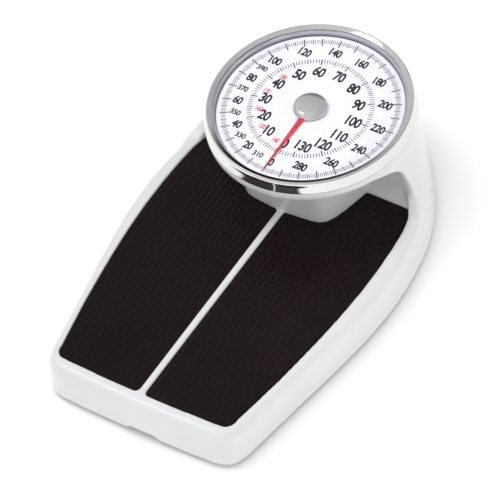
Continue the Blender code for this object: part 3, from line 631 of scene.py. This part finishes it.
def mat_piece(side, sign):
    """One mat, cut from a slab and a field of squares."""
    slab = solid("slab", loft_mesh([
        (mat_low.z, mat_loop(sign, 0.0)), (SLAB_TOP - 0.5, mat_loop(sign, 0.0)),
        (SLAB_TOP - 0.12, mat_loop(sign, -0.25)), (SLAB_TOP, mat_loop(sign, -0.8))]))
    bm = bmesh.new()
    for i in range(PADS_ACROSS):
        for j in range(PADS_ALONG):
            cx = sign * (FIRST_PAD[0] + PITCH * (i + 0.5))
            cy = FIRST_PAD[1] + PITCH * (j + 0.5)
            rings = []
            for half, dz in PAD_LEVELS:
                z = mat_high.z + dz
                rings.append([bm.verts.new((cx + half * a, cy + half * b, z))
                              for a, b in ((-1, -1), (1, -1), (1, 1), (-1, 1))])
            bm.faces.new(rings[0][::-1])
            bm.faces.new(rings[-1])
            for low, high in zip(rings, rings[1:]):
                for k in range(4):
                    bm.faces.new((low[k - 1], low[k], high[k], high[k - 1]))
    pads = solid("pads", bm)
    keep = solid("keep", loft_mesh([(z, mat_loop(sign, -BORDER))
                                    for z in (mat_high.z - 3.0, mat_high.z + 2.0)]))
    combine(pads, "INTERSECT", keep)
    combine(slab, "UNION", pads)
    piece = make(f"tread_{side}", take(slab), LOOKS["black_rubber"], "black_rubber", "platform",
                 f"mat_{side}")
    shade(piece, 40)


for side, sign in (("left", -1), ("right", 1)):
    mat_piece(side, sign)

# ---- dial head: bezel, ring under the lens, lens, hub ----
BEZEL = [(112.5, 131.3), (112.2, 132.5), (110.4, 139.2), (109.95, 141.6), (109.35, 143.4), (108.6, 144.55),
         (107.9, 145.0), (107.3, 144.85), (102.9, 143.05), (102.9, 142.7), (103.9, 142.45), (103.9, 131.3)]
bezel = make("bezel_ring", revolve_mesh(rounded(BEZEL, 0.9), 260), LOOKS["chrome"], "chrome",
             "platform", "dial_bezel")
shade(bezel, 50)
SPACER = [(98.8, spacer_low.z), (103.4, spacer_low.z), (103.4, spacer_high.z), (102.3, spacer_high.z)]
spacer = make("under_lens_ring", revolve_mesh(rounded(SPACER, 0.4, 3), 220), SATIN, "grey_plastic",
              "platform", "lens_spacer")
shade(spacer, 50)


LENS_R, LENS_DROP, LENS_T, LENS_STEPS = 103.4, 4.8, 1.5, 24


def dome(r):
    """Drop of the lens below its middle at radius r."""
    return LENS_DROP * (r / LENS_R) ** 2


radii = [LENS_R * i / LENS_STEPS for i in range(LENS_STEPS + 1)]
lens_profile = [(r, LENS_TOP - dome(r)) for r in radii]
lens_profile += [(r, LENS_TOP - LENS_T - dome(r)) for r in reversed(radii)]
lens = make("lens_dome", revolve_mesh(lens_profile, 180, closed=False), LOOKS["clear_lens"],
            "clear_lens", "platform", "dial_lens")
shade(lens, 50)
lens.visible_shadow = False        # or the dial under it goes dark

# (radius, height above the hub cap's lowest point)
HUB = [(0, 0.0), (1.75, 0.0), (17.6, 0.0), (18.5, 0.35), (18.6, 0.9), (18.25, 1.6), (17.7, 2.4), (16.9, 3.4),
       (15.9, 4.35), (14.5, 5.15), (12.3, 5.85), (9.3, 6.4), (6.2, 6.78), (3.2, 6.98), (0, 7.05)]
hub = make("hub_dome", revolve_mesh([(r, HUB_BOTTOM + z) for r, z in HUB], 128, closed=False),
           LOOKS["chrome"], "chrome", "pointer", "hub_cap")
shade(hub, 45)

# ---- pointer: tapered blade with a raised middle ----
# (distance from the axis, half-width)
BLADE = [(-8.0, 4.0), (-18, 3.1), (-45, 2.15), (-70, 1.35), (-88, 0.8), (-91.6, 0.45), (-92, 0.2)]
BLADE_LOW, BLADE_HIGH = pointer_low.z + 0.25, pointer_high.z - 0.1
BLADE_EDGE = BLADE_LOW + 0.45      # top of its upright sides
BLADE_FLAT = 0.45                  # its flat top, as a share of its width
SHAFT_R, DISC_R = 1.8, 8.5
bm = bmesh.new()
rows = []
for y, half in BLADE:
    right_side = [(half * BLADE_FLAT, BLADE_HIGH), (half, BLADE_EDGE), (half, BLADE_LOW)]
    section = [(-x, z) for x, z in reversed(right_side)] + right_side
    rows.append([bm.verts.new((x, DIAL_Y + y, z)) for x, z in section])
for a, b in zip(rows, rows[1:]):
    for k in range(len(a)):
        bm.faces.new((a[k - 1], a[k], b[k], b[k - 1]))
bm.faces.new(rows[0])
bm.faces.new(rows[-1][::-1])
blade = solid("blade", outward(bm))
disc = solid("disc", revolve_mesh([(SHAFT_R, pointer_low.z), (DISC_R, pointer_low.z),
                                   (DISC_R, pointer_high.z), (SHAFT_R, pointer_high.z)], 64))
combine(blade, "UNION", disc)
needle = make("needle", take(blade), LOOKS["pointer_red"], "pointer_red", "pointer", "pointer")
shade(needle, 35)

# ---- printing on the dial ----
INK = 0.03                         # half the thickness of the printed layer
TURN_LB, TURN_KG = 300.0, 136.08   # one turn of the pointer
OUTER_R, INNER_R = 95.5, 67.3      # outer ends of the two rings of ticks
# kinds of tick: every how many units, its two ends in from the ring's radius, and its width
LB_TICKS = ((10, 0.0, 9.8, 1.25), (5, 1.0, 7.4, 0.85), (1, 1.4, 6.4, 0.66))
KG_TICKS = ((10, 0.0, 7.7, 1.25), (5, 0.0, 6.2, 1.0), (1, 0.2, 5.2, 0.85))
RED_TICK = (0.1, 5.6, 1.0)
# kinds of number: radius, digit height, share of the font's own width, and how much bolder it is
LB_ROW, LB_SECOND = (78.2, 10.0, 0.78, 0.52), (78.8, 6.7, 0.94, 0.30)
KG_ROW, KG_SECOND = (50.4, 12.8, 0.76, 0.62), (53.8, 6.3, 0.68, 0.22)
# numbers that are printed off their ticks: how far outwards, along X and along Y
LB_SHIFTS = {0: (2.3, 2.0, 0.0)}
KG_SHIFTS = {0: (2.2, 1.6, 0.0), 130: (0.0, 6.8, 1.2), 120: (0.0, 4.2, 1.7), 50: (0.0, 2.4, 0.3),
             20: (0.0, 2.0, 1.0)}
DIGIT_SHARE = 0.73                 # height of a digit as a share of the font's size
DIGIT_SPACING = 0.93
MERGE = 0.0005                     # points closer than this become one


def dial_point(share, r):
    """Point on the dial, for a share of a turn clockwise from the front."""
    a = 2 * math.pi * share
    return -r * math.sin(a), DIAL_Y - r * math.cos(a)


def tick(bm, share, r_out, r_in, width):
    """One printed tick as a thin closed bar."""
    a = 2 * math.pi * share
    along = Vector((-math.sin(a), -math.cos(a)))
    across = Vector((math.cos(a), -math.sin(a))) * (width / 2)
    centre = Vector((0, DIAL_Y))
    flat = [centre + along * r_in - across, centre + along * r_in + across,
            centre + along * r_out + across, centre + along * r_out - across]
    low, high = ([bm.verts.new((p.x, p.y, DIAL_TOP + dz)) for p in flat] for dz in (-INK, INK))
    bm.faces.new(low)
    bm.faces.new(high[::-1])
    for k in range(4):
        bm.faces.new((low[k - 1], low[k], high[k], high[k - 1]))


def write(bm, value, per_turn, row, shifts):
    """Prints a number at its place on the dial, upright."""
    outwards, dx, dy = shifts.get(value, (0.0, 0.0, 0.0))
    radius, height, width, weight = row
    x, y = dial_point(value / per_turn, radius + outwards)
    curve = bpy.data.curves.new("digits", "FONT")
    curve.body = str(value)
    curve.size = height / DIGIT_SHARE
    curve.align_x, curve.align_y = "CENTER", "CENTER"
    curve.offset = weight
    curve.space_character = DIGIT_SPACING
    curve.extrude = INK
    curve.resolution_u = 4
    obj = bpy.data.objects.new("digits", curve)
    bpy.context.scene.collection.objects.link(obj)
    graph = bpy.context.evaluated_depsgraph_get()
    mesh = bpy.data.meshes.new_from_object(obj.evaluated_get(graph))
    bpy.data.objects.remove(obj)
    xs, ys = ([v.co[k] for v in mesh.vertices] for k in (0, 1))
    middle = Vector(((max(xs) + min(xs)) / 2, (max(ys) + min(ys)) / 2, 0))
    mesh.transform(Matrix.Translation((x + dx, y + dy, DIAL_TOP)) @ Matrix.Diagonal((width, 1, 1, 1))
                   @ Matrix.Translation(-middle))
    bm.from_mesh(mesh)


black, grey, red = bmesh.new(), bmesh.new(), bmesh.new()
for count, per_turn, ring_r, kinds in ((300, TURN_LB, OUTER_R, LB_TICKS), (136, TURN_KG, INNER_R, KG_TICKS)):
    for value in range(count):
        every, start, end, width = next(kind for kind in kinds if value % kind[0] == 0)
        tick(grey if every == 1 else black, value / per_turn, ring_r - start, ring_r - end, width)
for lb in range(0, 300, 20):
    write(black, lb, TURN_LB, LB_ROW, LB_SHIFTS)
for lb in range(310, 400, 20):
    write(black, lb, TURN_LB, LB_SECOND, {})
for kg in range(0, 140, 10):
    write(black, kg, TURN_KG, KG_ROW, KG_SHIFTS)
for kg in range(140, 190, 10):
    write(red, kg, TURN_KG, KG_SECOND, {})
    start, end, width = RED_TICK
    tick(red, kg / TURN_KG, INNER_R - start, INNER_R - end, width)
for name, bm, look in (("dial_print_black", black, BLACK_INK), ("dial_print_grey", grey, GREY_INK),
                       ("dial_print_red", red, RED_INK)):
    bmesh.ops.remove_doubles(bm, verts=bm.verts, dist=MERGE)
    make(name, bm, look, "dial_card", "platform")

# ---- floor, lights and world ----
bm = bmesh.new()
bmesh.ops.create_grid(bm, x_segments=8, y_segments=8, size=9.0)
floor = solid("floor", bm)
t = Tree("floor")
floor.data.materials.append(t.connect(
    t.mottle((0.945, 0.945, 0.945), (0.96, 0.96, 0.96), scale=2.0),
    t.spread(t.noise(5.0), 0.7, 0.8), Emission_Color=(1.0, 1.0, 1.0, 1.0), Emission_Strength=0.14))

LAMP_TARGET = Vector((0, 0, 0.05))


def area(name, place, size, power):
    """Soft round lamp aimed at the scale. Its place and size are in metres, its power in watts."""
    light = bpy.data.lights.new(name, "AREA")
    light.shape = "DISK"
    light.size = size
    light.energy = power
    # otherwise the lamp shows as a blob on the hub, through the lens
    light.cycles.use_multiple_importance_sampling = False
    obj = bpy.data.objects.new(name, light)
    obj.location = place
    obj.rotation_euler = (Vector(place) - LAMP_TARGET).to_track_quat("Z", "Y").to_euler()
    obj.visible_glossy = False         # the world is what shows in the chrome
    bpy.context.scene.collection.objects.link(obj)


area("key", (-1.3, -0.1, 2.9), 1.2, 19.0)
area("top", (0.3, -0.2, 3.4), 2.4, 24.0)
area("right_fill", (2.4, -0.2, 1.2), 1.6, 13.0)

world = bpy.data.worlds.new("studio")
bpy.context.scene.world = world
world.use_nodes = True
nodes, links = world.node_tree.nodes, world.node_tree.links
background = nodes["Background"]
background.inputs["Strength"].default_value = 0.55
where = nodes.new("ShaderNodeTexCoord").outputs["Generated"]


def towards(direction):
    """How nearly each part of the world lies in a direction, as a cosine."""
    node = nodes.new("ShaderNodeVectorMath")
    node.operation = "DOT_PRODUCT"
    node.inputs[1].default_value = direction
    links.new(where, node.inputs[0])
    return node.outputs["Value"]


def soft_patch(direction, edge, full, value):
    """Round patch of the world: 0 outside its edge, rising to a value. Edge and full are cosines."""
    node = nodes.new("ShaderNodeMapRange")
    node.interpolation_type = "SMOOTHSTEP"
    node.inputs["From Min"].default_value = edge
    node.inputs["From Max"].default_value = full
    node.inputs["To Max"].default_value = value
    links.new(towards(direction), node.inputs["Value"])
    return node.outputs["Result"]


# pale all round and brighter high up on the front left
ramp = nodes.new("ShaderNodeValToRGB")
ramp.color_ramp.elements[0].position = 0.0
ramp.color_ramp.elements[0].color = (0.95, 0.95, 0.97, 1.0)
ramp.color_ramp.elements[1].position = 0.9
ramp.color_ramp.elements[1].color = (1.35, 1.35, 1.35, 1.0)
links.new(towards((-0.56, -0.62, 0.55)), ramp.inputs["Fac"])
# an unlit patch low down behind the object, which the rim of the bezel reflects
mix = nodes.new("ShaderNodeMix")
mix.data_type = "RGBA"
mix.inputs[7].default_value = (0.05, 0.042, 0.036, 1.0)
links.new(soft_patch((-0.38, 0.925, 0.03), 0.80, 0.96, 1.0), mix.inputs["Factor"])
links.new(ramp.outputs["Color"], mix.inputs[6])
# a small soft box high on the left, for the spark on the hub
total = nodes.new("ShaderNodeVectorMath")
total.operation = "ADD"
links.new(mix.outputs[2], total.inputs[0])
links.new(soft_patch((-0.479, -0.287, 0.829), 0.975, 0.992, 3.0), total.inputs[1])
links.new(total.outputs["Vector"], background.inputs["Color"])
